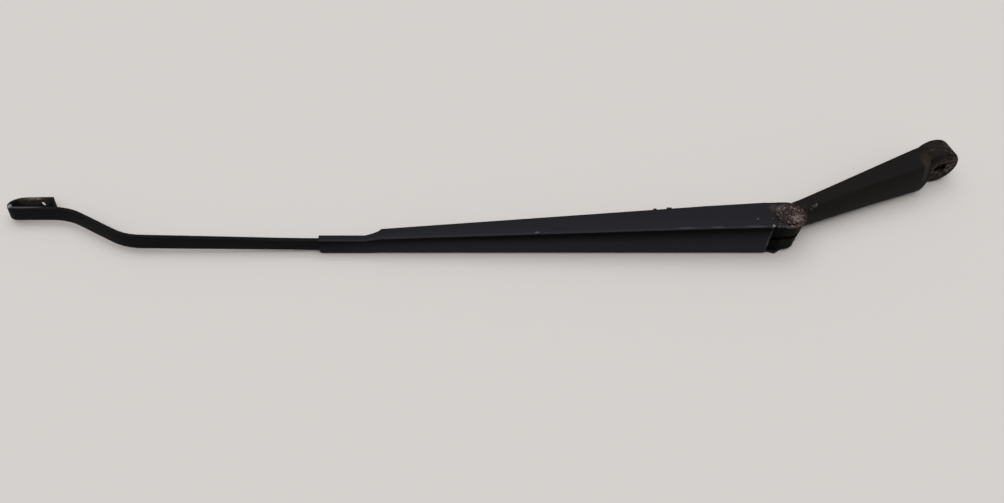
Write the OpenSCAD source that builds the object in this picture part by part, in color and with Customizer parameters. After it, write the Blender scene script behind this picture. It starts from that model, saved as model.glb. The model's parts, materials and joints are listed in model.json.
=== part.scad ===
// Windscreen wiper arm with a cast mounting head, a pressed channel and a flat hooked rod.
// The arm lies on its side: its width runs along Z, its outer side faces -Y and its glass side +Y.
// The origin is the middle of the spindle bore's nut face, and the hook points along -X.

/* [Mounting head] */
// Distance from the spindle axis to the hinge axis
head_length = 129; // [120:1:140]
// Angle between the head and the channel at the closed stop
head_angle = 24.3; // [22:0.1:27]
// Radius of the spindle boss
boss_r = 13; // [12.8:0.1:14]
// Depth of the spindle boss behind the nut face
boss_depth = 16.5; // [15:0.5:20]
// Round of the boss at its nut face and at its glass side
boss_rounds = [2, 3]; // [1:0.5:3]
// Radius of the hole for the threaded end of the spindle
stud_bore_r = 4.2; // [3.6:0.1:4.6]
// Length of that hole from the nut face
stud_bore_length = 6; // [5:0.5:7]
// Large radius of the tapered seat, at the glass side
seat_r = 6.2; // [5.6:0.1:6.8]
// Small radius of the tapered seat
seat_small_r = 4.9; // [4.7:0.1:5.4]
// Width of the knuckle across the arm
neck_width = 20.5; // [19.5:0.1:20.8]
// Width of the neck where it leaves the knuckle
neck_waist = 19.1; // [18:0.1:19.4]
// Width of the neck at the boss
neck_width_boss = 25.2; // [22:0.1:25.4]
// Angle between the spindle axis and the square across the neck
boss_tilt = 12.6; // [0:0.1:15]
// Radius of the hinge knuckle
knuckle_r = 8.6; // [8:0.1:9]
// Width of the knuckle's slot for the spring link
slot_width = 3.2; // [3:0.1:4]

/* [Channel] */
// Distance from the hinge axis to the channel's narrow end
channel_length = 292.5; // [285:0.5:310]
// Sheet thickness
sheet = 1.5; // [1.2:0.1:1.6]
// Height of the outer face above the hinge axis
web_height = 10.9; // [10.5:0.1:11.2]
// Depth of the side walls at the hinge
ear_depth = 21.8; // [21.4:0.1:22.2]
// Depth of the side walls where they drop to the fold
wall_depth_end = 8.8; // [8.2:0.1:9.4]
// Width over the ears
ear_width = 24.8; // [24.4:0.1:25]
// Width at the knee of the taper
knee_width = 23.7; // [23:0.1:24.4]
// Distance of that knee from the hinge axis
knee_at = 50; // [40:1:70]
// Distance of the cut end of the outer face from the hinge axis
web_end_at = 11.5; // [11:0.1:12]
// Length of the narrow end that is folded round the rod
crimp_length = 29.5; // [26:0.5:34]
// Length of the step from the open walls to the fold
step_length = 10; // [8:0.5:12]
// Outer bend radius of the sheet
bend_r = 2.2; // [1.8:0.1:2.4]

/* [Rod] */
// Width of the flat bar
rod_width = 9; // [8.5:0.1:9.2]
// Thickness of the flat bar
rod_thick = 3; // [2.8:0.1:3.2]
// Distance from the hinge axis to the tip of the hook
rod_tip_at = 499; // [490:0.5:515]
// Length of the bar inside the channel, behind the fold
rod_tail = 41; // [36:1:48]
// Sideways offset of the S bend
s_offset = 24; // [18:0.5:30]
// Angle of the S bend's slope
s_angle = 28.5; // [24:0.5:34]
// Radius of the S bend's two curves
s_radius = 42; // [36:1:50]
// Straight length of the near leg behind the S bend
hook_leg = 30.5; // [29:0.5:40]
// Outer width over the hook's two legs
hook_width = 15.4; // [14:0.1:16]
// Length of the hook from its tip to the return leg's end
hook_length = 26; // [24:0.5:29]
// Radius of the hole in the return leg
hook_hole_r = 2; // [1.8:0.1:2.4]
// Twist of the bar at the hook
twist_angle = 17; // [8:1:18]
// Height that the bar gains from the fold to the S bend
rod_rise = 2.6; // [2.4:0.1:4]

/* [Hinge and spring] */
// Radius of the rivet's shank
rivet_r = 3; // [2.8:0.1:3.2]
// Radius of the rivet's domed head
rivet_head_r = 6.2; // [5.8:0.1:6.8]
// Radius of the washer under the head
washer_r = 8.4; // [8:0.1:8.8]
// Thickness of the washer
washer_thick = 1; // [0.8:0.1:1.2]
// Wall of the hinge bushes
bush_wall = 1; // [0.8:0.1:1.2]
// Radius of the link pin
link_pin_r = 1.5; // [1.4:0.1:1.6]
// Thickness of the spring link
link_thick = 2; // [1.8:0.1:2.2]
// Outer radius of the spring
spring_r = 4.1; // [3.8:0.1:4.2]
// Diameter of the spring wire
spring_wire = 1.6; // [1.4:0.1:1.7]

/* [Hidden] */
$fn = 64;

// Shared clearances
run_gap = 0.05; // radial running clearance of a shaft in its bush
fit_gap = 0.02; // radial clearance of a riveted or pressed hole
side_gap = 0.25; // clearance beside a washer
eps = 0.01; // thickness of a slab that ends a loft

// Frame of the arm: the hinge axis at its origin, +x to the tip, +y to the outer side, z from the lower wall
hinge_x = -head_length * cos(head_angle);
hinge_y = -head_length * sin(head_angle);
mid_z = ear_width / 2; // middle of the ears
neck_z = mid_z - boss_r; // the same height in the head's own frame, at the hinge

module in_arm() {
    translate([hinge_x, hinge_y, -boss_r])
        rotate([0, 0, 180])
            children();
}

module in_head() {
    rotate([0, 0, head_angle])
        children();
}

// Frame of the boss: z runs from the nut face to the glass side
module in_boss() {
    rotate([0, 0, head_angle - boss_tilt])
        rotate([-90, 0, 0])
            children();
}

// Channel: one bent section swept along x, [distance from the side, depth under the outer face] at each point
crimp_from = channel_length - crimp_length;
step_from = crimp_from - step_length;
straight_to = web_end_at + 4;
crimp_width = rod_width + 2 * sheet;
crimp_depth = rod_thick + 2 * sheet;
web_inner = web_height - sheet;
seam_gap = 1.2;
fold_r = 1.6; // outer round of the fold's long edges
tip_rounds = [3.4, 1.4]; // lower and upper corner of the fold's tip
depth_slope = (ear_depth - wall_depth_end) / step_from;
width_end = crimp_width + 2; // width where the step to the fold starts

function wall_depth(x) = ear_depth - depth_slope * x;
function channel_width(x) =
    x < straight_to ? ear_width :
    x < knee_at ? ear_width + (knee_width - ear_width) * (x - straight_to) / (knee_at - straight_to) :
    x < crimp_from ? knee_width + (width_end - knee_width) * (x - knee_at) / (step_from - knee_at) :
    crimp_width;
function mix(a, b, f) = a + (b - a) * f;

// One side of the section from the web to the lip; inset is 0 outside and the sheet's thickness inside
function side(x, inset) =
    let (f = x < crimp_from ? 0 : 1, w = channel_width(x), d = wall_depth(x), top_r = mix(bend_r, fold_r, f))
    concat(
        [for (a = [0:22.5:90]) [top_r - (top_r - inset) * sin(a), top_r - (top_r - inset) * cos(a)]],
        [for (k = [0:4]) mix([inset, d - 3 + k / 2],
            [fold_r - (fold_r - inset) * cos(22.5 * k), crimp_depth - fold_r + (fold_r - inset) * sin(22.5 * k)], f)],
        [mix([inset, d], [(w - seam_gap) / 2, crimp_depth - inset], f)]);

function lower_side(x, inset) = [for (q = side(x, inset)) [x, web_height - q[1], q[0]]];
function upper_side(x, inset) = [for (q = side(x, inset)) [x, web_height - q[1], channel_width(x) - q[0]]];
function reversed(list) = [for (i = [len(list) - 1:-1:0]) list[i]];
function channel_ring(x) =
    concat(reversed(lower_side(x, 0)), upper_side(x, 0), reversed(upper_side(x, sheet)), lower_side(x, sheet));

// Cutter that rounds a corner at the fold's tip
module tip_cutter(r) {
    linear_extrude(crimp_depth + 2)
        polygon(concat([[1, -1], [1, r]], [for (a = [0:22.5:90]) [r * cos(a) - r, r - r * sin(a)]], [[-r, -1]]));
}

// Marks of the press on the fold: three notches on its upper corner and a line on its outer face
notch_from_tip = 4.1;
notch_pitch = 5.7;
notch = [2.4, 1, 0.5]; // length, width and depth
press_line = [8, 0.3, 0.6]; // length, depth and height
press_line_at = [6.2, 3.4]; // from the tip, and above the lower edge

module press_marks() {
    for (k = [0:2])
        translate([channel_length - notch_from_tip - k * notch_pitch - notch[0] / 2,
                   web_height - crimp_depth - 1, crimp_width - notch[2]])
            cube([notch[0], notch[1] + 1, notch[2] + 1]);
    translate([channel_length - press_line_at[0] - press_line[0], web_height - press_line[1], press_line_at[1]])
        cube([press_line[0], 1, press_line[2]]);
}

module channel_shell() {
    difference() {
        swept_sheet([for (x = [web_end_at, straight_to, knee_at, step_from, crimp_from, channel_length]) channel_ring(x)]);
        translate([channel_length, web_height + 1, 0])
            rotate([90, 0, 0])
                tip_cutter(tip_rounds[0]);
        translate([channel_length, web_height + 1, crimp_width])
            rotate([90, 0, 0])
                mirror([0, 1, 0])
                    tip_cutter(tip_rounds[1]);
        press_marks();
    }
}

// One hinge ear; the lower one has its near corner cut straight
module ear(clipped) {
    ear_r = ear_depth - web_height - 0.3;
    edge_y = web_height - wall_depth(web_end_at);
    difference() {
        union() {
            circle(ear_r);
            polygon([[web_end_at + 2, edge_y + 0.2], [0, -ear_r], [0, ear_r - 0.1], [web_end_at * 0.4, web_height - 0.1],
                     [web_end_at + 2, web_height - bend_r - 0.3]]);
        }
        if (clipped)
            polygon([[6, 11.3], [-14, -2.9], [-14, 14], [6, 14]]);
    }
}

module arm_channel() {
    nibs = [[81.5, 2], [72.6, 3]]; // place and width of the two small tabs on the upper free edge
    nib_height = 1.2;
    color([0.09, 0.09, 0.1])
        in_arm()
            difference() {
                union() {
                    channel_shell();
                    linear_extrude(sheet)
                        ear(true);
                    translate([0, 0, ear_width - sheet])
                        linear_extrude(sheet)
                            ear(false);
                    for (nib = nibs)
                        translate([nib[0] - nib[1] / 2, web_height - wall_depth(nib[0]) - nib_height,
                                   channel_width(nib[0]) - sheet])
                            cube([nib[1], nib_height + 1, sheet - 0.2]);
                }
                translate([0, 0, -1])
                    cylinder(r = rivet_r + fit_gap, h = ear_width + 2);
                translate([0, 0, -eps])
                    cylinder(r1 = rivet_r + sheet + fit_gap, r2 = rivet_r + fit_gap, h = sheet + eps);
            }
}

// Rod: a flat bar swept through stations [centre, thickness direction, width direction]
rod_inner_at = crimp_from - rod_tail;
rod_y = web_inner - rod_thick / 2; // middle of the bar in the fold
rod_mid_z = sheet + rod_width / 2;
spring_y = rod_y - 2.9; // middle of the bar's inner end, where the spring hooks
joggle_from = rod_inner_at + 14;
joggle_to = rod_inner_at + 23;
twist_from = 320; // the bar is flat to here, and fully twisted at the S bend
s_rise = 2 * s_radius * (1 - cos(s_angle));
s_straight = (s_offset - s_rise) / sin(s_angle);
s_run = 2 * s_radius * sin(s_angle) + s_straight * cos(s_angle);
bend_r_hook = (hook_width - rod_thick) / 2; // middle radius of the hook's U
hook_centre_at = rod_tip_at - hook_width / 2;
s_to = hook_centre_at - hook_leg + hook_width / 2;
s_from = s_to - s_run;
flare_angle = 2; // by which the return leg opens
hook_turn = 180 - flare_angle;
hole_back = 7; // from the return leg's end to its hole

function twist(x) = twist_angle * max(0, min(1, (x - twist_from) / (s_from - twist_from)));
function bar_z(x) = rod_mid_z + rod_rise * max(0, min(1, (x - channel_length) / (s_from - channel_length)));

function station(x, y, heading, roll) =
    let (t = [-sin(heading), cos(heading), 0], w = [0, 0, 1])
    [[x, y, bar_z(x)], t * cos(roll) + w * sin(roll), w * cos(roll) - t * sin(roll)];

// The S bend turns to the glass side, runs straight and turns back
s_steps = 5;
function s_bend() = [
    for (i = [0:s_steps])
        let (a = s_angle * i / s_steps, x = s_from + s_radius * sin(a))
        station(x, rod_y - s_radius * (1 - cos(a)), -a, twist(x)),
    for (i = [0:s_steps])
        let (a = s_angle * (1 - i / s_steps), x = s_to - s_radius * sin(a))
        station(x, rod_y - s_offset + s_radius * (1 - cos(a)), -a, twist(x))
];

leg_y = rod_y - s_offset;
hook_t = [0, cos(twist_angle), sin(twist_angle)]; // across the hook's legs, to the outer side
hook_w = [0, -sin(twist_angle), cos(twist_angle)]; // along the bar's width
hook_centre = [hook_centre_at, leg_y, rod_mid_z + rod_rise] - hook_t * bend_r_hook;

u_steps = 10;
return_along = [cos(hook_turn), 0, 0] - hook_t * sin(hook_turn); // along the return leg
function hook_stations() = [
    for (i = [0:u_steps])
        let (a = hook_turn * i / u_steps, t = [sin(a), 0, 0] + hook_t * cos(a))
        [hook_centre + t * bend_r_hook, t, hook_w],
    let (t = [sin(hook_turn), 0, 0] + hook_t * cos(hook_turn))
    [hook_centre + t * bend_r_hook + return_along * (hook_length - hook_width / 2), t, hook_w]
];

function rod_stations() = concat(
    [station(rod_inner_at, spring_y, 0, 0), station(joggle_from, spring_y, 0, 0),
     station(joggle_to, rod_y, 0, 0), station(channel_length, rod_y, 0, 0)],
    [for (x = [twist_from:(s_from - twist_from) / 5:s_from - 1])
        station(x, rod_y, 0, twist(x))],
    s_bend(), hook_stations());

// Section of the bar, [thickness, width], with round edges
function bar_section() =
    let (r = 0.8, a = rod_thick / 2 - r, b = rod_width / 2 - r)
    [for (q = [[1, 1, 0], [-1, 1, 90], [-1, -1, 180], [1, -1, 270]])
        for (i = [0:2])
            [q[0] * a + r * cos(q[2] + 45 * i), q[1] * b + r * sin(q[2] + 45 * i)]];

function sweep_points(rings) = [for (ring = rings) for (p = ring) p];
function sweep_sides(n, m) = [
    for (i = [0:m - 2]) for (j = [0:n - 1]) let (k = (j + 1) % n)
        [i * n + j, (i + 1) * n + j, (i + 1) * n + k, i * n + k]];

module swept(rings) {
    n = len(rings[0]);
    m = len(rings);
    polyhedron(sweep_points(rings), concat(
        [[for (j = [0:n - 1]) j]],
        sweep_sides(n, m),
        [[for (j = [n - 1:-1:0]) (m - 1) * n + j]]));
}

// The same for a bent sheet, whose ring runs along its outside and back along its inside
module swept_sheet(rings) {
    n = len(rings[0]);
    m = len(rings);
    last = (m - 1) * n;
    polyhedron(sweep_points(rings), concat(
        [for (j = [0:n / 2 - 2]) [j, j + 1, n - 2 - j, n - 1 - j]],
        sweep_sides(n, m),
        [for (j = [0:n / 2 - 2]) [last + n - 1 - j, last + n - 2 - j, last + j + 1, last + j]]));
}

module arm_rod() {
    section = bar_section();
    leg = hook_stations()[u_steps + 1];
    color([0.1, 0.1, 0.11])
        in_arm()
            difference() {
                swept([for (s = rod_stations()) [for (p = section) s[0] + s[1] * p[0] + s[2] * p[1]]]);
                translate(leg[0] - return_along * hole_back)
                    rotate([90 + twist_angle, 0, 0])
                        cylinder(r = hook_hole_r, h = 2.5 * rod_thick, center = true);
                translate([rod_inner_at + spring_hole_back, spring_y, rod_mid_z])
                    rotate([90, 0, 0])
                        cylinder(r = spring_wire / 2 + 0.5, h = 2 * rod_thick, center = true);
            }
}

// Hinge: the rivet turns in two bushes pressed in the knuckle's cheeks
bush_r = rivet_r + run_gap + bush_wall;
cheek_height = (neck_width - slot_width) / 2;
side_washer_thick = (ear_width - 2 * sheet - neck_width) / 2 - side_gap;

module ring(outer_r, inner_r, height) {
    difference() {
        cylinder(r = outer_r, h = height);
        translate([0, 0, -1])
            cylinder(r = inner_r, h = height + 2);
    }
}

module hinge_rivet() {
    dome_height = 2.4;
    dome_sphere_r = (rivet_head_r ^ 2 + dome_height ^ 2) / (2 * dome_height);
    head_from = ear_width + washer_thick;
    color([0.35, 0.25, 0.2])
        in_arm() {
            cylinder(r = rivet_r, h = head_from + eps);
            cylinder(r1 = rivet_r + sheet, r2 = rivet_r, h = sheet);
            translate([0, 0, head_from])
                intersection() {
                    translate([0, 0, dome_height - dome_sphere_r])
                        sphere(dome_sphere_r);
                    cylinder(r = rivet_head_r, h = dome_height + 1);
                }
        }
}

module upper_washer() {
    color([0.35, 0.25, 0.2])
        in_arm()
            translate([0, 0, ear_width])
                ring(washer_r, rivet_r + fit_gap, washer_thick);
}

module side_washer_upper() {
    color([0.6, 0.6, 0.55])
        in_arm()
            translate([0, 0, ear_width - sheet - side_washer_thick])
                ring(knuckle_r - 1, rivet_r + fit_gap, side_washer_thick);
}

module side_washer_lower() {
    color([0.6, 0.6, 0.55])
        in_arm()
            translate([0, 0, sheet])
                ring(knuckle_r - 1, rivet_r + fit_gap, side_washer_thick);
}

module hinge_bush_upper() {
    color([0.6, 0.45, 0.2])
        in_arm()
            translate([0, 0, mid_z + slot_width / 2])
                ring(bush_r, rivet_r + run_gap, cheek_height);
}

module hinge_bush_lower() {
    color([0.6, 0.45, 0.2])
        in_arm()
            translate([0, 0, mid_z - neck_width / 2])
                ring(bush_r, rivet_r + run_gap, cheek_height);
}

// Link pin: it stands on the glass side of the hinge, so the spring presses the arm down
pin_at = [-3.5, -8.5];
pin_seat = 3; // length of each end in its cheek

module link_pin() {
    color([0.4, 0.36, 0.33])
        in_arm()
            translate([pin_at[0], pin_at[1], mid_z - slot_width / 2 - pin_seat])
                cylinder(r = link_pin_r, h = slot_width + 2 * pin_seat);
}

// Spring link: a flat plate bent round the rivet's path, with an eye at each end
spring_hole_back = 4; // from the rod's inner end to the hole for the spring
link_end_at = 75;
anchor = [rod_inner_at + spring_hole_back, spring_y];
pull_angle = atan2(anchor[1] - pin_at[1], anchor[0] - pin_at[0]);
link_eye_r = 3.2;
link_waist = 1.9; // half width of the plate round the bend
function on_pull(x) = [x, pin_at[1] + (x - pin_at[0]) * tan(pull_angle)];
link_bend = [[1.2, -5.2], [7, -7.4], [12.5, -6.2], [19, -1]]; // from the pin, clear of the rivet on the whole lift

// Outline of a strip of half width r along a route, with mitred corners
function heading(route, i) = let (d = route[min(i + 1, len(route) - 1)] - route[max(i, 0)]) d / norm(d);
function side_normal(route, i) =
    let (a = heading(route, max(i - 1, 0)), b = heading(route, min(i, len(route) - 2)), m = (a + b) / norm(a + b))
    [-m[1], m[0]] / (m * b);
function strip(route, r) = concat(
    [for (i = [0:len(route) - 1]) route[i] - r * side_normal(route, i)],
    reversed([for (i = [0:len(route) - 1]) route[i] + r * side_normal(route, i)]));

module spring_link() {
    route = concat([pin_at], [for (p = link_bend) pin_at + p], [on_pull(link_end_at)]);
    color([0.3, 0.27, 0.25])
        in_arm()
            difference() {
                translate([0, 0, mid_z - link_thick / 2])
                    linear_extrude(link_thick)
                        union() {
                            translate(pin_at)
                                circle(link_eye_r);
                            polygon(strip(route, link_waist));
                            translate(on_pull(link_end_at))
                                circle(link_eye_r);
                        }
                translate([pin_at[0], pin_at[1], 0])
                    cylinder(r = link_pin_r + run_gap, h = ear_width);
                translate([on_pull(link_end_at)[0], on_pull(link_end_at)[1], 0])
                    cylinder(r = spring_wire / 2 + 0.4, h = ear_width);
            }
}

// Tension spring: a hook through the link's eye, a coil, and a hook through the rod's inner end
spring_from = [on_pull(link_end_at)[0], on_pull(link_end_at)[1], mid_z];
spring_to = [anchor[0], anchor[1], rod_mid_z];
spring_length = norm(spring_to - spring_from);
coil_r = spring_r - spring_wire / 2;
coil_pitch = 2.7;
coil_lead = 3; // straight lead from each hook to the coil
coil_turns = floor((spring_length - 2 * coil_r - 2 * coil_lead) / coil_pitch) - 0.25;
coil_length = spring_length - 2 * coil_r - 2 * coil_lead;

function spring_path() = concat(
    [for (a = [50:26:258]) [coil_r + coil_r * cos(a), 0, coil_r * sin(a)]],
    [[coil_r, 0, -coil_r]],
    [for (i = [0:round(coil_turns * 8)])
        let (s = i / round(coil_turns * 8), a = -90 + coil_turns * 360 * s)
        [coil_r + coil_lead + coil_length * s, coil_r * cos(a), coil_r * sin(a)]],
    [[spring_length - coil_r, -coil_r, 0]],
    [for (a = [282:26:490]) [spring_length - coil_r + coil_r * cos(a), coil_r * sin(a), 0]]);

// Frames carried along a path without twist, for a round wire
function unit(v) = v / norm(v);
function tangent(path, i) =
    unit(path[min(i + 1, len(path) - 1)] - path[max(i - 1, 0)]);
function across(t, n) = unit(n - t * (n * t));
function frames(path) = [
    for (i = 0, t = tangent(path, 0), n = across(t, [0, 1, 0.01]);
         i < len(path);
         i = i + 1, t = tangent(path, min(i, len(path) - 1)), n = across(t, n))
        [t, n]];

module wire(path, r, sides) {
    f = frames(path);
    swept([for (i = [0:len(path) - 1])
        let (t = f[i][0], n = f[i][1], b = cross(t, n))
        [for (j = [0:sides - 1]) path[i] + n * (r * cos(j * 360 / sides)) + b * (r * sin(j * 360 / sides))]]);
}

module tension_spring() {
    d = spring_to - spring_from;
    color([0.25, 0.22, 0.2])
        in_arm()
            translate(spring_from)
                rotate([0, -asin(d[2] / norm(d)), atan2(d[1], d[0])])
                    wire(spring_path(), spring_wire / 2, 5);
}

// Mounting head: boss, crowned neck and slotted knuckle, one casting
step_at = 12.3; // from the spindle axis to the end of the crown
crown_end = 4.5; // length of the slope from the crown down to the nut face
neck_back = 14.2; // glass side of the neck behind the nut face, at the boss
neck_back_hinge = 10; // the same at the hinge
crown_front = 5.8; // height of the crown over the nut face, at the step
crown_rise = 4.5; // height of the crown over the neck's flat sides
slot_back = 7.5; // from the hinge axis to the end of the knuckle's slot
neck_start = 112; // from the spindle axis to where the crown begins
neck_middle = [60, 3.2, 12]; // a station half way: its place, its crown's height and its glass side
neck_end = [124, 7.6]; // the same inside the knuckle: its place and the height of its outer side

// Profile of the neck, [y, z]: a flat glass side and an elliptical crown
function neck_profile(front, back, width, rise) =
    let (h = width / 2, r = 1.2)
    concat(
        [for (a = [-90:15:90]) [front + rise - rise * cos(a), h * sin(a)]],
        [for (a = [90:-30:0]) [back - r + r * cos(a), h - r + r * sin(a)]],
        [for (a = [0:-30:-90]) [back - r + r * cos(a), -h + r + r * sin(a)]]);

function neck_width_at(x) = mix(neck_width_boss, neck_waist, max(0, min(1, (x - step_at) / (neck_start - step_at))));

module neck_slab(x, front, back, rise) {
    translate([-x, 0, neck_z * x / head_length])
        rotate([90, 0, 90])
            linear_extrude(eps)
                polygon(neck_profile(front, back, neck_width_at(x), rise));
}

module neck() {
    hull() {
        neck_slab(step_at, -0.3, neck_back, crown_rise);
        neck_slab(step_at + crown_end, -crown_front, neck_back, crown_rise);
    }
    hull() {
        neck_slab(step_at + crown_end, -crown_front, neck_back, crown_rise);
        neck_slab(neck_middle[0], -neck_middle[1], neck_middle[2], crown_rise);
    }
    hull() {
        neck_slab(neck_middle[0], -neck_middle[1], neck_middle[2], crown_rise);
        neck_slab(neck_start, -0.6, neck_back_hinge, crown_rise - 1);
    }
    hull() {
        neck_slab(neck_start, -0.6, neck_back_hinge, crown_rise - 1);
        neck_slab(neck_end[0], -neck_end[1], neck_back_hinge, crown_rise / 2);
    }
}

module boss_profile() {
    polygon(concat(
        [[0, 0]],
        [for (a = [-90:22.5:0])
            [boss_r - boss_rounds[0] + boss_rounds[0] * cos(a), boss_rounds[0] + boss_rounds[0] * sin(a)]],
        [for (a = [0:18:90])
            [boss_r - boss_rounds[1] + boss_rounds[1] * cos(a), boss_depth - boss_rounds[1] + boss_rounds[1] * sin(a)]],
        [[0, boss_depth]]));
}

// The knuckle, drawn in the arm's frame at rest, where its toe stops the channel
module knuckle_profile() {
    toe_gap = 0.3;
    union() {
        circle(knuckle_r);
        polygon([[web_end_at + 4, web_inner - toe_gap], [web_end_at + 4, 4], [0, -6], [-3, 6], [4, web_inner - toe_gap]]);
    }
    rotate(head_angle)
        polygon([[-8, -neck_back_hinge], [-10, -neck_back_hinge + 2], [-10, 1.8], [-1, knuckle_r], [4, -4],
                 [1, -neck_back_hinge + 0.6], [0, -neck_back_hinge]]);
}

module mounting_head() {
    seat_length = boss_depth - stud_bore_length;
    color([0.1, 0.09, 0.09])
        difference() {
            union() {
                in_boss()
                    rotate_extrude()
                        boss_profile();
                in_head() {
                    translate([-step_at - eps, 3, -neck_width_boss / 2 + 3])
                        cube([step_at, neck_back - 5, neck_width_boss - 6]);
                    neck();
                }
                in_arm()
                    translate([0, 0, mid_z - neck_width / 2])
                        linear_extrude(neck_width)
                            knuckle_profile();
            }
            in_boss() {
                translate([0, 0, -10])
                    cylinder(r = stud_bore_r, h = stud_bore_length + 11);
                translate([0, 0, stud_bore_length])
                    cylinder(r1 = seat_small_r, r2 = seat_r, h = seat_length + eps);
                translate([0, 0, -10])
                    cylinder(r = boss_r, h = 10);
            }
            in_arm() {
                for (z = [mid_z - neck_width / 2 - 1, mid_z + slot_width / 2])
                    translate([0, 0, z])
                        cylinder(r = bush_r, h = cheek_height + 1);
                translate([pin_at[0], pin_at[1], mid_z - slot_width / 2 - pin_seat])
                    cylinder(r = link_pin_r, h = slot_width + 2 * pin_seat);
                translate([0, 0, mid_z - slot_width / 2])
                    linear_extrude(slot_width)
                        translate([-slot_back, -20])
                            square([40, 40]);
            }
        }
}

mounting_head();
hinge_bush_upper();
hinge_bush_lower();
link_pin();
arm_channel();
arm_rod();
hinge_rivet();
upper_washer();
side_washer_upper();
side_washer_lower();
spring_link();
tension_spring();
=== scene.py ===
# %% [markdown]
# # A used windscreen wiper arm
# This lesson dresses a measured model of a wiper arm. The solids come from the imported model, in metres,
# with +Z up and the arm lying on its side. The spindle hole is at the origin and the blade's hook is at -X.
# Nothing is moved or resized here. Each piece is copied, softened at its edges and painted. The spring is
# wound again in round wire, and rust scales are added.

# %% Load the solids
import json
import math

import bmesh
import bpy
import numpy as np
from mathutils import Matrix, Vector

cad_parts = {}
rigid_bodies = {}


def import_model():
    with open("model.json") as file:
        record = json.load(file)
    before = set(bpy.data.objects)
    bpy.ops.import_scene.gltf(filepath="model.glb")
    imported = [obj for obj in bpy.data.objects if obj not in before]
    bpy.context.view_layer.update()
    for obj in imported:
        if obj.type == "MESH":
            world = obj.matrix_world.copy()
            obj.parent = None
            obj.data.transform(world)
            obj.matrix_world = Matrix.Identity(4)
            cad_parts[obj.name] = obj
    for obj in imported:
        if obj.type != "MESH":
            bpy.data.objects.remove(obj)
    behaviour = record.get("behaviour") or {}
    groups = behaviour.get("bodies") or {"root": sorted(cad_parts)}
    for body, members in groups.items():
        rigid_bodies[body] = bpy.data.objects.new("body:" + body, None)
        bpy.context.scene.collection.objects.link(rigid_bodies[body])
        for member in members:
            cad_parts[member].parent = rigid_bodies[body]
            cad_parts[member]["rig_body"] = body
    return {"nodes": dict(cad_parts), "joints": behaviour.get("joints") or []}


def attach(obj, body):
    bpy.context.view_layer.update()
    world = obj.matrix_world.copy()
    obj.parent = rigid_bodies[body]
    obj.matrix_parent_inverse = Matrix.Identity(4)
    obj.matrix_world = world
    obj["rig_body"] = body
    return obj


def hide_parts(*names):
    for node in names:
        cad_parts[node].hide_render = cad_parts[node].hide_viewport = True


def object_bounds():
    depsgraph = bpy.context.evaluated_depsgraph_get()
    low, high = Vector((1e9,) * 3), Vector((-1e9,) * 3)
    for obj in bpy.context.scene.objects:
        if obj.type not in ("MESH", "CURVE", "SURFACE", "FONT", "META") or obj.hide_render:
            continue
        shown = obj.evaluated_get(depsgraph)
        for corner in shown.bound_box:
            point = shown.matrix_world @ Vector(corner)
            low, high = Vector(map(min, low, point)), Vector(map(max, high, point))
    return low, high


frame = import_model()
cad_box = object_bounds()
hinge = Vector(frame["joints"][0]["pos_m"])
MM = 0.001  # metres in a millimetre
print("solids:", ", ".join(sorted(frame["nodes"])))
print("hinge at", [round(v, 4) for v in hinge])

# %% [markdown]
# ## The camera
# The arm was photographed from in front and above, 50 degrees below the horizon, with a fairly wide lens.
# The lens length follows from the picture: 775 of its pixels for each unit of slope, on a frame 1004 wide.

# %% Camera
SENSOR_MM = 36
PIXELS_PER_SLOPE = 775
PICTURE_WIDTH = 1004
TILT_FROM_DOWN = math.radians(40)
CAMERA_PLACE = (-0.295, -0.3783, 0.364)
camera_data = bpy.data.cameras.new("camera")
camera_data.sensor_width = SENSOR_MM
camera_data.lens = SENSOR_MM * PIXELS_PER_SLOPE / PICTURE_WIDTH
camera = bpy.data.objects.new("camera", camera_data)
bpy.context.collection.objects.link(camera)
camera.location = CAMERA_PLACE
camera.rotation_euler = (TILT_FROM_DOWN, 0, 0)
bpy.context.scene.camera = camera
bpy.context.scene.view_settings.view_transform = "Standard"
print("lens", round(camera_data.lens, 2), "mm")

# %% [markdown]
# ## Small helpers
# Paints are written as sRGB hex values, as a colour card gives them, and Cycles wants linear numbers. One
# function adds a shader or geometry node with its settings and its links. Noise scales are worked out from
# the real size of a blotch or a grain, because object coordinates are in metres.

# %% Helpers for colours and nodes
def linear(code):
    """A hex colour as linear red, green, blue and alpha."""
    channels = [int(code[i:i + 2], 16) / 255 for i in (1, 3, 5)]
    return tuple(c / 12.92 if c <= 0.04045 else ((c + 0.055) / 1.055) ** 2.4 for c in channels) + (1.0,)


def add(tree, kind, settings=None, inputs=None):
    """A new node in the tree; an input is a value, or the output socket that feeds it."""
    new = tree.nodes.new(kind)
    for name, value in (settings or {}).items():
        setattr(new, name, value)
    for name, value in (inputs or {}).items():
        if isinstance(value, bpy.types.NodeSocket):
            tree.links.new(value, new.inputs[name])
        else:
            new.inputs[name].default_value = value
    return new


def grain(size_mm):
    """Noise scale that gives features of this size."""
    return 1000 / size_mm


# %% [markdown]
# ## The table and the light
# The arm lies on a plain, pale, slightly warm table. Its shadow is soft and lies close around it on all
# sides, as under a wide diffuser right above. The world does the work of that diffuser: its radiance rises
# smoothly within 52 degrees of the zenith, and the rest of the room is dim. On the table the two add up to
# a level of about one, so a paint renders as it is written. An area lamp would do too, but its edges would
# show in the gloss of the paint.

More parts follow.
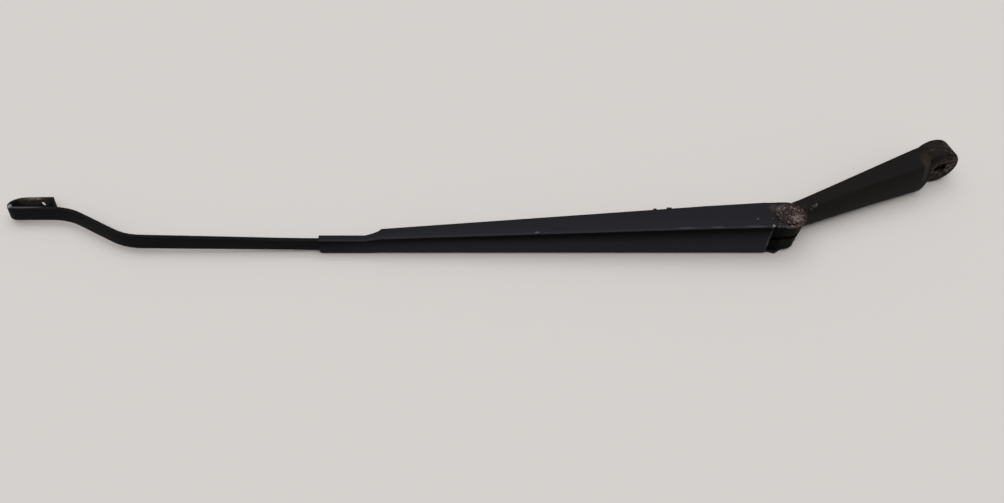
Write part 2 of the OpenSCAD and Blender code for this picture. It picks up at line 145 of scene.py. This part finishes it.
# %% Table
TABLE_REACH = 6  # metres from the middle to each side
floor_z = cad_box[0][2]
corners = [(x * TABLE_REACH, y * TABLE_REACH, floor_z) for x, y in ((-1, -1), (1, -1), (1, 1), (-1, 1))]
mesh = bpy.data.meshes.new("table")
mesh.from_pydata(corners, [], [(0, 1, 2, 3)])
table = bpy.data.objects.new("table", mesh)
bpy.context.collection.objects.link(table)
table_paint = bpy.data.materials.new("pale_table")
table_paint.use_nodes = True
surface = table_paint.node_tree.nodes["Principled BSDF"]
surface.inputs["Base Color"].default_value = linear("#d8d4d1")
surface.inputs["Roughness"].default_value = 0.9
surface.inputs["Specular IOR Level"].default_value = 0.1
mesh.materials.append(table_paint)
print("table at z", round(floor_z, 4))

# %% Light
ROOM, DIFFUSER = 0.3, 1.8  # radiance of the room's walls, and of the diffuser overhead
DIFFUSER_RIM, DIFFUSER_FULL = math.radians(52), math.radians(30)  # angles from the zenith
world = bpy.data.worlds.new("room")
world.use_nodes = True
sky = world.node_tree
direction = add(sky, "ShaderNodeTexCoord").outputs["Generated"]
upward = add(sky, "ShaderNodeSeparateXYZ", {}, {"Vector": direction}).outputs["Z"]
glow = add(sky, "ShaderNodeMapRange", {"clamp": True, "interpolation_type": "SMOOTHSTEP"},
           {"Value": upward, "From Min": math.cos(DIFFUSER_RIM), "From Max": math.cos(DIFFUSER_FULL),
            "To Min": ROOM, "To Max": DIFFUSER})
sky.nodes["Background"].inputs["Color"].default_value = (1, 0.997, 0.993, 1)
sky.links.new(glow.outputs["Result"], sky.nodes["Background"].inputs["Strength"])
bpy.context.scene.world = world
print("radiance from", ROOM, "to", DIFFUSER)

# %% [markdown]
# ## What a worn paint is made of
# A paint is built up as layers: a colour, and over it another one where a mask says so. A mask is a noise,
# a place on the arm or the way a face points, each faded between two limits. A place is an ellipsoid given
# in millimetres. A picture of the paint could be wrapped round each piece instead, but masks need no
# unwrapping, and they run over an edge without a seam.

# %% Masks and layers
def fade(tree, value, start, end, top=1.0):
    """A number that goes from 0 at start to top at end, and stays there."""
    return add(tree, "ShaderNodeMapRange", {"clamp": True},
               {"Value": value, "From Min": start, "From Max": end, "To Max": top}).outputs["Result"]


def product(tree, one, other):
    """Two masks multiplied."""
    return add(tree, "ShaderNodeMath", {"operation": "MULTIPLY"}, {0: one, 1: other}).outputs["Value"]


def over(tree, factor, under, colour):
    """The colour laid over what is under it, by the factor."""
    return add(tree, "ShaderNodeMix", {"data_type": "RGBA"},
               {"Factor": factor, "A": under, "B": colour}).outputs["Result"]


def noise(tree, where, size_mm, detail=4.0, rough=0.7):
    """Noise with features of this size."""
    inputs = {"Vector": where, "Scale": grain(size_mm), "Detail": detail, "Roughness": rough}
    return add(tree, "ShaderNodeTexNoise", {}, inputs).outputs["Fac"]


def patch(tree, where, centre_mm, reach_mm, core=0.6):
    """1 inside an ellipsoid of this reach around the centre, 0 outside it."""
    centre = [c * MM for c in centre_mm]
    reach = [r * MM for r in reach_mm]
    away = add(tree, "ShaderNodeVectorMath", {"operation": "SUBTRACT"}, {0: where, 1: centre})
    scaled = add(tree, "ShaderNodeVectorMath", {"operation": "DIVIDE"}, {0: away.outputs["Vector"], 1: reach})
    length = add(tree, "ShaderNodeVectorMath", {"operation": "LENGTH"}, {0: scaled.outputs["Vector"]})
    return fade(tree, length.outputs["Value"], 1.0, core)


def wear_and_painted_light(tree, where, colour, marks):
    """The colour with worn places, painted highlights and shade; a broken-up place has noise of that size."""
    for centre, reach, tone, strength, broken_mm in marks:
        cover = patch(tree, where, centre, reach)
        if broken_mm:
            cover = product(tree, cover, fade(tree, noise(tree, where, broken_mm, 5.0), 0.45, 0.57))
        colour = over(tree, product(tree, cover, strength), colour, linear(tone))
    return colour


# %% [markdown]
# ## Darker and greyer bands on the channel, and a painted highlight on its fold
# The channel's outer face is darkest right under the fold. It is greyer towards its lower edge and towards
# the wide end. The fold itself gets a painted highlight where it faces up and a little out. The face tapers,
# so the height of the dark band follows the fold down to the narrow end.

# %% Darker and greyer bands, and the painted fold highlight
FOLD_RISE = 0.045  # metres that the fold rises for each metre towards the hinge
DARK_BAND = 0.008, 0.0155  # heights where the dark band starts and is full, moved to x = 0 along the fold
GREY_BAND = 0.002, -0.011  # heights where the grey band starts and is full
GREY_LENGTH = -0.42, -0.33  # x where it starts and is full


def face_gradient_and_fold_highlight(tree, place, colour):
    """The colour of the channel's paint: darker under the fold, greyer low down, with a painted fold
    highlight.
    """
    at = add(tree, "ShaderNodeSeparateXYZ", {}, {"Vector": place.outputs["Object"]})
    facing = add(tree, "ShaderNodeSeparateXYZ", {}, {"Vector": place.outputs["Normal"]})
    # 1 on the outer face, which looks to -Y
    outer = fade(tree, facing.outputs["Y"], -0.5, -0.8)
    level = add(tree, "ShaderNodeMath", {"operation": "MULTIPLY_ADD"},
                {0: at.outputs["X"], 1: -FOLD_RISE, 2: at.outputs["Z"]}).outputs["Value"]
    # darker right under the fold, greyer low down and towards the wide end
    dark_band = product(tree, outer, fade(tree, level, *DARK_BAND, 0.95))
    colour = over(tree, dark_band, colour, linear("#070708"))
    low = product(tree, outer, fade(tree, at.outputs["Z"], *GREY_BAND, 0.85))
    grey_band = product(tree, low, fade(tree, at.outputs["X"], *GREY_LENGTH))
    colour = over(tree, grey_band, colour, linear("#2e2d31"))
    # painted highlight where the fold faces up and a little out
    bend = product(tree, fade(tree, facing.outputs["Y"], -0.03, -0.25),
                   fade(tree, facing.outputs["Z"], 0.6, 0.85, 0.7))
    return over(tree, bend, colour, linear("#302f35"))


# %% [markdown]
# ## Black stoving enamel
# Wiper arms are dipped or powder coated in a satin black, thin enough that the metal's own texture shows
# through. Under a flat light it is almost without shine. Two very dark greys drift into each other over a
# few centimetres, dust lightens it, and worn edges show grey primer. The wear is found with the Bevel node:
# where a rounded normal differs from the true one, there is an edge. Rust comes through near the hinge and
# the spindle, mottled dark and light, and it stands a little proud of the paint.

# %% Enamel
DRIFT_MM, DUST_MM, SCUFF_MM, MOTTLE_MM = 38, 0.9, 5, 2.4
EDGE_REACH = 0.5 * MM
PEEL_DEPTH = 0.06 * MM
RUST_STANDS = 1.3  # height of the rust over the paint, in depths of the peel


def black_enamel(name, dark, light, peel_mm, wear, rusts, marks=(), gradient_and_highlight=False, roughness=0.55, gloss=0.05):
    """Satin black paint.

    rusts are (centre, reach, amount, grain, dark tone, light tone), in mm, where rust has come through.
    marks are (centre, reach, colour, strength, size of the breaks): worn places, painted highlights and
    shade.
    """
    material = bpy.data.materials.new(name)
    material.use_nodes = True
    tree = material.node_tree
    paint = tree.nodes["Principled BSDF"]
    place = add(tree, "ShaderNodeTexCoord")
    where = place.outputs["Object"]
    drift = noise(tree, where, DRIFT_MM, 3.0, 0.6)
    colour = over(tree, drift, linear(dark), linear(light))
    # darker and greyer bands, with a painted highlight on the fold
    if gradient_and_highlight:
        colour = face_gradient_and_fold_highlight(tree, place, colour)
    # dust that settled in the satin surface
    specks = noise(tree, where, DUST_MM, 4.0, 0.75)
    colour = over(tree, fade(tree, specks, 0.58, 0.78, 0.16), colour, linear("#4a4540"))
    # worn edges
    rounded = add(tree, "ShaderNodeBevel", {"samples": 6}, {"Radius": EDGE_REACH})
    true = add(tree, "ShaderNodeNewGeometry")
    likeness = add(tree, "ShaderNodeVectorMath", {"operation": "DOT_PRODUCT"},
                   {0: rounded.outputs["Normal"], 1: true.outputs["Normal"]})
    edge = fade(tree, likeness.outputs["Value"], 0.99, 0.86, wear)
    scuffs = fade(tree, noise(tree, where, SCUFF_MM, 5.0), 0.4, 0.62)
    colour = over(tree, product(tree, edge, scuffs), colour, linear("#4c494a"))
    # rust, and the orange peel that paint dries with
    height = noise(tree, where, peel_mm, 3.0, 0.5)
    mottle = fade(tree, noise(tree, where, MOTTLE_MM, 3.0, 0.6), 0.45, 0.56)
    for centre, reach, amount, size_mm, low, high in rusts:
        grains = noise(tree, where, size_mm, 6.0, 0.8)
        cover = product(tree, patch(tree, where, centre, reach, 0.35),
                        fade(tree, grains, 0.62 - 0.3 * amount, 0.66 - 0.16 * amount))
        colour = over(tree, cover, colour, over(tree, mottle, linear(low), linear(high)))
        height = add(tree, "ShaderNodeMath", {"operation": "MULTIPLY_ADD"},
                     {0: cover, 1: RUST_STANDS, 2: height}).outputs["Value"]
    tree.links.new(wear_and_painted_light(tree, where, colour, marks), paint.inputs["Base Color"])
    rough = add(tree, "ShaderNodeMapRange", {"clamp": True},
                {"Value": drift, "To Min": roughness - 0.06, "To Max": roughness + 0.1})
    tree.links.new(rough.outputs["Result"], paint.inputs["Roughness"])
    paint.inputs["Specular IOR Level"].default_value = gloss
    bump = add(tree, "ShaderNodeBump", {}, {"Height": height, "Distance": PEEL_DEPTH, "Strength": 0.35})
    tree.links.new(bump.outputs["Normal"], paint.inputs["Normal"])
    print(name, "with", len(rusts), "rusty places and", len(marks), "marks")
    return material


# %% [markdown]
# ## The four enamels of the arm
# The same paint looks different on each metal. On the pressed sheet it is smooth, faintly blue, darker under
# the fold and greyer low down, with a painted highlight on the fold; on the bar it is nearly black; on the
# casting it is rough and brownish, with painted shade deepest in the hinge, where no light comes. Each has
# the chips and rubbed places that this arm has, and painted highlights, at their own places in millimetres.

# %% Sheet
sheet_enamel = black_enamel(
    "black_enamel_on_pressed_steel", "#1f1f23", "#252529", 1.6, 0.55,
    rusts=[((-112, -53, 12), (15, 15, 6), 0.95, 1.3, "#120d0b", "#5a463c"),  # upper ear
           ((-108.5, -55, 6), (6, 9, 12), 0.7, 1.1, "#1e1510", "#59412f")],  # round end of the ears
    marks=[((-125.5, -47.5, 12), (3.6, 4, 2), "#3a3536", 0.8, 0),  # bare patch beside the washer
           ((-122, -63, 11.4), (10, 1.2, 1.3), "#5f5a5a", 0.85, 2.5),  # painted highlight along the ear's edge, broken up like worn paint
           ((-128.8, -62.2, 11.4), (1.2, 1.0, 1.1), "#908c90", 0.9, 0),  # painted highlight at the corner where the fold ends
           ((-113, -62.8, 11.4), (8, 1.3, 1.5), "#46372f", 0.8, 1.6),
           ((-129.7, -63.6, -1), (1.1, 1.4, 13), "#55535a", 0.8, 2.2),  # cut end of the outer face
           ((-137.4, -56.4, 11.8), (0.8, 0.7, 1), "#56575c", 0.8, 0),  # pale speck
           ((-273.4, -62.2, 5.6), (1.8, 0.8, 0.9), "#565354", 0.9, 0),  # chip, and the nick under it
           ((-272.5, -63.2, 4.2), (1.6, 1.0, 1.3), "#020202", 0.9, 0),
           ((-182, -62.4, 9.9), (7, 0.7, 0.9), "#45434a", 0.7, 0),  # painted highlights on stretches of the fold
           ((-163, -62.5, 10.7), (5, 0.7, 0.9), "#45434a", 0.7, 0),
           ((-140, -62.5, 11.4), (8, 0.7, 0.9), "#45434a", 0.6, 0),
           ((-136, -64, -7.5), (4.5, 1, 1.3), "#3a3738", 0.6, 1.0)],  # scuff low on the face
    gradient_and_highlight=True, gloss=0.03)

# %% Bar
bar_enamel = black_enamel(
    "black_enamel_on_steel_bar", "#101011", "#151516", 1.4, 0.5,
    rusts=[((-602, -24.5, -3), (14, 4, 5), 0.5, 1.6, "#1d1613", "#4f4038")],  # inside of the hook
    marks=[((-604, -25.2, -5), (15, 2.6, 4.2), "#352f2a", 0.8, 0),  # brown return leg, with flecks
           ((-606, -25.2, -5.6), (10, 2.6, 1.2), "#1d1917", 0.7, 2.0),
           ((-606.5, -25.2, -3.9), (5, 2.6, 1.0), "#5f584d", 0.7, 1.4),
           ((-601, -24.5, -3.6), (5, 1.6, 0.9), "#8b8073", 0.8, 0.8),  # bare rim of the return leg
           ((-604, -35.4, 0), (14, 1.4, 1.2), "#524f54", 0.85, 0),  # painted highlight on the rim of the near leg
           ((-613.4, -33.5, -0.3), (2.0, 3.2, 1.5), "#918d8e", 0.85, 0),  # bright end bend
           ((-614.5, -35, -5), (2.4, 4, 4), "#3e3b3d", 0.7, 1.2)])  # scuffs on the bend

# %% Casting
cast_enamel = black_enamel(
    "black_enamel_on_casting", "#161515", "#1c1a19", 2.2, 0.4,
    rusts=[((9, 6, 4), (15, 18, 20), 0.75, 1.8, "#030302", "#51463f"),  # side of the boss
           ((0, 0, -2), (13, 3, 11), 0.9, 1.9, "#050403", "#574a42"),  # nut face
           ((-110, -46, 2), (14, 12, 16), 0.4, 1.2, "#130e0b", "#3a2e24")],  # neck at the hinge
    marks=[((-8, 9, 9), (10, 12, 7), "#241f1b", 0.8, 0),  # smooth brown side
           # painted highlight along the parting line on the boss's top
           ((-8, 6.2, 11.3), (3.4, 0.8, 1.6), "#43393b", 0.7, 0),
           ((-17.3, -9, 6), (3, 7, 10), "#332f2f", 0.8, 0),  # painted highlight on the rounded end of the crown
           ((-15.5, -4, 11.5), (5, 7, 5), "#31281f", 0.6, 0),
           ((-98.2, -42.7, 8.4), (3.4, 1.0, 0.9), "#423f3b", 0.8, 0),  # three chips on the neck
           ((-96.8, -41.7, 9), (0.9, 0.8, 0.8), "#6a6763", 0.8, 0),
           ((-100.4, -44.4, 7.6), (1.0, 0.9, 1.2), "#423f3b", 0.7, 0)],
    roughness=0.6)
# painted shade: a darker copy of the casting's enamel for the knuckle in the hinge
painted_shade_enamel = black_enamel(
    "black_enamel_painted_hinge_shade", "#060606", "#0b0a0a", 2.2, 0.2, rusts=[],
    marks=[((-130, -62.2, -1), (5, 3, 16), "#010101", 0.9, 0),  # painted shadow, darkest under the outer face
           ((-117, -61.7, -1), (5, 3, 16), "#1b1b17", 0.8, 0)],  # painted shade, paler towards the neck
    gloss=0.02)

# %% [markdown]
# ## Rusty, bare and moulded pieces
# The rivet and its washer have lost their coating: they are brown with fine rust, with paler grains where
# the crust has flaked. The bushes are sintered bronze, which is a dull yellow brown. The washers beside the
# knuckle are moulded in acetal, an even grey without shine. The spring, its link and the pin are steel with
# a dark phosphate finish, a matt skin with a little metal in it. One function makes them all, because each
# is a colour that moves between tones in grains of its own size.

# %% Rust, bronze, acetal and phosphate
def granular(name, tones, size_mm, roughness, metallic=0.0, depth_mm=0.05, contrast=(0.35, 0.65), marks=()):
    """A metal or crust whose colour moves between the tones in grains of this size."""
    material = bpy.data.materials.new(name)
    material.use_nodes = True
    tree = material.node_tree
    surface = tree.nodes["Principled BSDF"]
    where = add(tree, "ShaderNodeTexCoord").outputs["Object"]
    grains = noise(tree, where, size_mm, 6.0)
    ramp = add(tree, "ShaderNodeValToRGB", {}, {"Fac": fade(tree, grains, *contrast)})
    ramp.color_ramp.elements[0].color = linear(tones[0])
    ramp.color_ramp.elements[1].color = linear(tones[-1])
    for i, tone in enumerate(tones[1:-1]):
        ramp.color_ramp.elements.new((i + 1) / (len(tones) - 1)).color = linear(tone)
    tree.links.new(wear_and_painted_light(tree, where, ramp.outputs["Color"], marks), surface.inputs["Base Color"])
    surface.inputs["Metallic"].default_value = metallic
    surface.inputs["Roughness"].default_value = roughness
    surface.inputs["Specular IOR Level"].default_value = 0.3
    bump = add(tree, "ShaderNodeBump", {}, {"Height": grains, "Distance": depth_mm * MM, "Strength": 0.6})
    tree.links.new(bump.outputs["Normal"], surface.inputs["Normal"])
    print(name, "in", len(tones), "tones")
    return material


rusted_steel = granular(
    "rusted_rivet_steel", ["#080605", "#18110e", "#352a25", "#65574f"], 1.3, 0.8,
    depth_mm=0.12, contrast=(0.41, 0.64),
    marks=[((-122, -49, 12.8), (4.6, 4.2, 3), "#48403f", 0.85, 0),  # bare grey steel
           ((-124, -57.5, 12.8), (4.5, 3.5, 3), "#16110f", 0.7, 1.0),  # dark rust
           ((-114, -57, 12.8), (4.5, 3.8, 3), "#a38e89", 0.75, 0.8)])  # pale flakes, with a painted highlight on the rivet's front right
bronze = granular("sintered_bronze", ["#6a4e2c", "#8c6b3e"], 0.6, 0.5, metallic=0.9)
acetal = granular("grey_acetal", ["#6f6c67", "#85817a"], 3.0, 0.6)
phosphated = granular("phosphated_spring_steel", ["#2b2826", "#3c3733", "#4d4239"], 2.4, 0.62, metallic=0.4)

# %% [markdown]
# ## Softened copies of the solids
# A solid's mesh has knife-sharp corners and loose triangles. The copy is welded, its flat faces are joined
# again, and a Bevel modifier rolls each corner by a few tenths of a millimetre, as the press, the mould or
# the paint leaves it. The corner then catches a thin line of light. Shading could fake that roll, but the
# outline would stay sharp.

# %% Copy, weld and bevel
WELD_REACH = 0.004 * MM
FLAT = math.radians(0.6)  # faces that meet at less than this are one face
SHARP = math.radians(28)  # edges that turn more than this are rolled


def softened(node, material, roll_mm):
    """A welded copy of a solid with rolled edges, which stands for it."""
    source = frame["nodes"][node]
    mesh = source.data.copy()
    mesh.name = node + "_finish"
    piece = bpy.data.objects.new(node + "_finish", mesh)
    bpy.context.collection.objects.link(piece)
    work = bmesh.new()
    work.from_mesh(mesh)
    bmesh.ops.remove_doubles(work, verts=work.verts, dist=WELD_REACH)
    bmesh.ops.dissolve_limit(work, angle_limit=FLAT, verts=work.verts, edges=work.edges)
    for face in work.faces:
        face.smooth = True
    for edge in work.edges:
        edge.smooth = len(edge.link_faces) == 2 and edge.calc_face_angle(0) < SHARP
    work.to_mesh(mesh)
    work.free()
    mesh.materials.clear()
    mesh.materials.append(material)
    for polygon in mesh.polygons:
        polygon.material_index = 0
    if roll_mm:
        bevel = piece.modifiers.new("roll", "BEVEL")
        bevel.width = roll_mm * MM
        bevel.segments = 2
        bevel.limit_method = "ANGLE"
        bevel.angle_limit = SHARP
    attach(piece, source["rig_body"])
    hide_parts(node)
    print(piece.name, len(mesh.vertices), "points")
    return piece


softened("arm_channel", sheet_enamel, 0.22)
softened("arm_rod", bar_enamel, 0)  # its section is round-edged already
head = softened("mounting_head", cast_enamel, 0.3)
softened("hinge_rivet", rusted_steel, 0.25)
softened("upper_washer", rusted_steel, 0.15)
for side in ("upper", "lower"):
    softened("side_washer_" + side, acetal, 0.05)
    softened("hinge_bush_" + side, bronze, 0.1)
softened("link_pin", phosphated, 0.1)
softened("spring_link", phosphated, 0.2)

# %% [markdown]
# The knuckle is part of the casting and sits between the channel's ears, where it lies in shadow. That shadow
# is painted: its faces get the second, darker enamel by their distance from the hinge.

# %% Painted shade on the knuckle
SHADE_REACH, SHADE_END = 17 * MM, 4 * MM
head.data.materials.append(painted_shade_enamel)
for polygon in head.data.polygons:
    reach = polygon.center - hinge
    polygon.material_index = int(reach.xy.length < SHADE_REACH and reach.x < SHADE_END)
print("dark faces:", sum(polygon.material_index for polygon in head.data.polygons))

# %% [markdown]
# ## Trees with named sizes
# The coil and the rust repeat, so Geometry Nodes make them. Each tree has its sizes as named inputs, which
# the modifier sets by their identifiers. The evaluated result is then kept as a plain mesh with its place
# in it, so that it exports as any other piece.

# %% Make a tree, and a plain mesh from it
def sized_tree(name, sizes):
    """A geometry tree with a named input for each size."""
    tree = bpy.data.node_groups.new(name, "GeometryNodeTree")
    tree.interface.new_socket("Geometry", in_out="INPUT", socket_type="NodeSocketGeometry")
    for label, value in sizes.items():
        kind = "NodeSocketInt" if isinstance(value, int) else "NodeSocketFloat"
        tree.interface.new_socket(label, in_out="INPUT", socket_type=kind)
    tree.interface.new_socket("Geometry", in_out="OUTPUT", socket_type="NodeSocketGeometry")
    return tree, add(tree, "NodeGroupInput").outputs


def end_tree(tree, geometry, material):
    """Instances made real and painted, as the tree's result."""
    real = add(tree, "GeometryNodeRealizeInstances", {}, {"Geometry": geometry})
    painted = add(tree, "GeometryNodeSetMaterial", {},
                  {"Geometry": real.outputs["Geometry"], "Material": material})
    tree.links.new(painted.outputs["Geometry"], add(tree, "NodeGroupOutput").inputs["Geometry"])


def grown(start, name, tree, sizes):
    """A plain mesh piece of what the tree makes of the start object, which is deleted."""
    bpy.context.collection.objects.link(start)
    modifier = start.modifiers.new(tree.name, "NODES")
    modifier.node_group = tree
    for socket in tree.interface.items_tree:
        if socket.in_out == "INPUT" and socket.name in sizes:
            modifier[socket.identifier] = sizes[socket.name]
    bpy.context.view_layer.update()
    mesh = bpy.data.meshes.new_from_object(start.evaluated_get(bpy.context.evaluated_depsgraph_get()))
    mesh.name = name
    mesh.transform(start.matrix_world)
    # the start object's own slot may be empty
    paint = [m for m in mesh.materials if m][0]
    mesh.materials.clear()
    mesh.materials.append(paint)
    mesh.polygons.foreach_set("material_index", [0] * len(mesh.polygons))
    start.modifiers.remove(modifier)
    bpy.data.objects.remove(start)
    piece = bpy.data.objects.new(name, mesh)
    bpy.context.collection.objects.link(piece)
    print(name, len(mesh.polygons), "faces of", paint.name)
    return piece


# %% [markdown]
# ## The tension spring
# The coil is a Spiral curve swept by a Curve to Mesh node, and the start object's own two splines are its
# end hooks. Its place is read from the solid: the long axis of that mesh is the axis of the coil, and its
# near end is at the link. A Screw modifier could turn the wire's section about that axis too, but in a tree
# the turns, the radius and the wire are inputs, and the hooks are swept along with the coil.

# %% Measure the solid spring
WIRE_R, COIL_R, LEAD, PITCH = 0.8 * MM, 3.3 * MM, 3 * MM, 2.7 * MM
solid = frame["nodes"]["tension_spring"]
points = np.array([v.co for v in solid.data.vertices])
middle = points.mean(0)
long_axis = np.linalg.svd(points - middle, full_matrices=False)[2][0]
long_axis *= -np.sign(long_axis[0])
spread = (points - middle) @ long_axis
span = spread.max() - spread.min() - 2 * WIRE_R
x_axis = Vector(long_axis)
y_axis = Vector((0, 0, 1)).cross(x_axis).normalized()
coil_frame = Matrix((x_axis, y_axis, x_axis.cross(y_axis))).transposed().to_4x4()
coil_frame.translation = Vector(middle) + x_axis * (spread.min() + WIRE_R)
coil_start = COIL_R + LEAD
coil_length = span - 2 * COIL_R - 2 * LEAD
turns = math.floor(coil_length / PITCH) - 0.25  # a quarter turn short, because the far hook lies flat
print("coil of", turns, "turns over", round(coil_length / MM, 1), "mm")

# %% End hooks
HOOK_STEPS = 24
NEAR_SWEEP, FAR_SWEEP = (50, 258), (282, 490)  # degrees


def hook_points(sweep, near):
    """Points of an end hook; it stands upright at the near end, and lies flat at the far one."""
    found = []
    for i in range(HOOK_STEPS + 1):
        a = math.radians(sweep[0] + (sweep[1] - sweep[0]) * i / HOOK_STEPS)
        if near:
            found.append((COIL_R + COIL_R * math.cos(a), 0, COIL_R * math.sin(a)))
        else:
            found.append((span - COIL_R + COIL_R * math.cos(a), COIL_R * math.sin(a), 0))
    return found


near_hook = hook_points(NEAR_SWEEP, True) + [(COIL_R, 0, -COIL_R), (coil_start, 0, -COIL_R)]
far_hook = [(coil_start + coil_length, -COIL_R, 0), (span - COIL_R, -COIL_R, 0)]
far_hook += hook_points(FAR_SWEEP, False)
wires = bpy.data.curves.new("spring_hooks", "CURVE")
wires.dimensions = "3D"
for route in (near_hook, far_hook):
    spline = wires.splines.new("POLY")
    spline.points.add(len(route) - 1)
    for point, place in zip(spline.points, route):
        point.co = (*place, 1)
hooks_only = bpy.data.objects.new("spring_hooks", wires)
hooks_only.matrix_world = coil_frame
print("hooks of", len(near_hook), "and", len(far_hook), "points")

# %% Coil
coil_sizes = {"Turns": turns, "Coil Radius": COIL_R, "Coil Length": coil_length, "Coil Start": coil_start,
              "Wire Radius": WIRE_R}
sweep, given = sized_tree("coil_and_hooks", coil_sizes)
spiral = add(sweep, "GeometryNodeCurveSpiral", {},
             {"Resolution": 20, "Rotations": given["Turns"], "Start Radius": given["Coil Radius"],
              "End Radius": given["Coil Radius"], "Height": given["Coil Length"]})
along = add(sweep, "ShaderNodeCombineXYZ", {}, {"X": given["Coil Start"]})
laid = add(sweep, "GeometryNodeTransform", {},
           {"Geometry": spiral.outputs["Curve"], "Translation": along.outputs["Vector"],
            "Rotation": (0, math.pi / 2, 0)})
route = add(sweep, "GeometryNodeJoinGeometry")
sweep.links.new(given["Geometry"], route.inputs["Geometry"])
sweep.links.new(laid.outputs["Geometry"], route.inputs["Geometry"])
section = add(sweep, "GeometryNodeCurvePrimitiveCircle", {},
              {"Resolution": 10, "Radius": given["Wire Radius"]})
swept = add(sweep, "GeometryNodeCurveToMesh", {},
            {"Curve": route.outputs["Geometry"], "Profile Curve": section.outputs["Curve"],
             "Fill Caps": True})
end_tree(sweep, swept.outputs["Mesh"], phosphated)
coil = grown(hooks_only, "tension_spring_coil", sweep, coil_sizes)
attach(coil, solid["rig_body"])
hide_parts("tension_spring")

# %% [markdown]
# ## Rust crust
# Rust on the rivet and around it lifts in scales a millimetre across. Geometry Nodes scatters flat scales
# over the upper ear, the washer and the rivet's head, thickest towards the ear's round end. Each carries a
# random tone, which its material reads, so pale and dark ones lie side by side. Bump alone would look
# painted on at the washer's rim.

# %% Finish of the scales
crust = bpy.data.materials.new("rust_scales")
crust.use_nodes = True
crust_tree = crust.node_tree
crust_face = crust_tree.nodes["Principled BSDF"]
tone = add(crust_tree, "ShaderNodeAttribute", {"attribute_name": "scale_tone"})
tones = add(crust_tree, "ShaderNodeValToRGB", {}, {"Fac": tone.outputs["Fac"]})
tones.color_ramp.elements[0].color = linear("#0d0a09")
tones.color_ramp.elements[1].color = linear("#b59f99")
tones.color_ramp.elements.new(0.55).color = linear("#3a2a23")
tones.color_ramp.elements.new(0.82).color = linear("#6e5145")
crust_tree.links.new(tones.outputs["Color"], crust_face.inputs["Base Color"])
crust_face.inputs["Roughness"].default_value = 0.8
crust_face.inputs["Specular IOR Level"].default_value = 0.3
pits = noise(crust_tree, add(crust_tree, "ShaderNodeTexCoord").outputs["Object"], 0.5)
crust_bump = add(crust_tree, "ShaderNodeBump", {}, {"Height": pits, "Distance": 0.05 * MM, "Strength": 0.6})
crust_tree.links.new(crust_bump.outputs["Normal"], crust_face.inputs["Normal"])
print("scales in", len(tones.color_ramp.elements), "tones")

# %% The ground that they lie on
GROUND_LEVEL = 11.5 * MM  # just under the upper ear's face
GROUND_REACH = 11.5 * MM  # from the hinge
ground = bmesh.new()
for node in ("arm_channel", "upper_washer", "hinge_rivet"):
    ground.from_mesh(frame["nodes"][node].data)
far = [f for f in ground.faces
       if f.normal.z < 0.6 or f.calc_center_median().z < GROUND_LEVEL
       or (f.calc_center_median() - hinge).xy.length > GROUND_REACH]
bmesh.ops.delete(ground, geom=far, context="FACES")
bmesh.ops.subdivide_edges(ground, edges=ground.edges, cuts=2, use_grid_fill=True)
ground_mesh = bpy.data.meshes.new("rusty_ground")
ground.to_mesh(ground_mesh)
ground.free()
print("ground of", len(ground_mesh.polygons), "faces")

# %% Scales
RUSTIEST = hinge + Vector((6, -4, 12.5)) * MM
# a cover is scales in a square metre, and each reach is a distance from the rustiest place
scale_sizes = {"Scale Radius": 0.5 * MM, "Thick Cover": 1.2e6, "Thick Reach": 4 * MM, "Thin Cover": 1e5,
               "Thin Reach": 16 * MM, "Smallest": 0.4, "Largest": 1.1, "Seed": 7}
scatter, given = sized_tree("scatter_scales", scale_sizes)
place = add(scatter, "GeometryNodeInputPosition").outputs["Position"]
offset = add(scatter, "ShaderNodeVectorMath", {"operation": "DISTANCE"}, {0: place, 1: RUSTIEST})
density = add(scatter, "ShaderNodeMapRange", {"clamp": True},
              {"Value": offset.outputs["Value"],
               "From Min": given["Thick Reach"], "From Max": given["Thin Reach"],
               "To Min": given["Thick Cover"], "To Max": given["Thin Cover"]})
spots = add(scatter, "GeometryNodeDistributePointsOnFaces", {},
            {"Mesh": given["Geometry"], "Density": density.outputs["Result"], "Seed": given["Seed"]})
flake = add(scatter, "GeometryNodeMeshUVSphere", {},
            {"Radius": given["Scale Radius"], "Segments": 8, "Rings": 4})
flat = add(scatter, "GeometryNodeTransform", {},
           {"Geometry": flake.outputs["Mesh"], "Scale": (1, 0.75, 0.25)})
size = add(scatter, "FunctionNodeRandomValue", {"data_type": "FLOAT"},
           {"Min": given["Smallest"], "Max": given["Largest"], "Seed": 3})
turned = add(scatter, "FunctionNodeRandomValue", {"data_type": "FLOAT_VECTOR"},
             {"Min": (-0.25, -0.25, 0), "Max": (0.25, 0.25, 6.28), "Seed": 5})
shade = add(scatter, "FunctionNodeRandomValue", {"data_type": "FLOAT"}, {"Min": 0.0, "Max": 1.0, "Seed": 11})
laid_out = add(scatter, "GeometryNodeInstanceOnPoints", {},
               {"Points": spots.outputs["Points"], "Instance": flat.outputs["Geometry"],
                "Rotation": turned.outputs["Value"], "Scale": size.outputs[1]})
toned = add(scatter, "GeometryNodeStoreNamedAttribute", {"data_type": "FLOAT", "domain": "INSTANCE"},
            {"Geometry": laid_out.outputs["Instances"], "Name": "scale_tone", "Value": shade.outputs[1]})
end_tree(scatter, toned.outputs["Geometry"], crust)
scales = grown(bpy.data.objects.new("rusty_ground", ground_mesh), "rust_scales", scatter, scale_sizes)
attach(scales, frame["nodes"]["arm_channel"]["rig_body"])
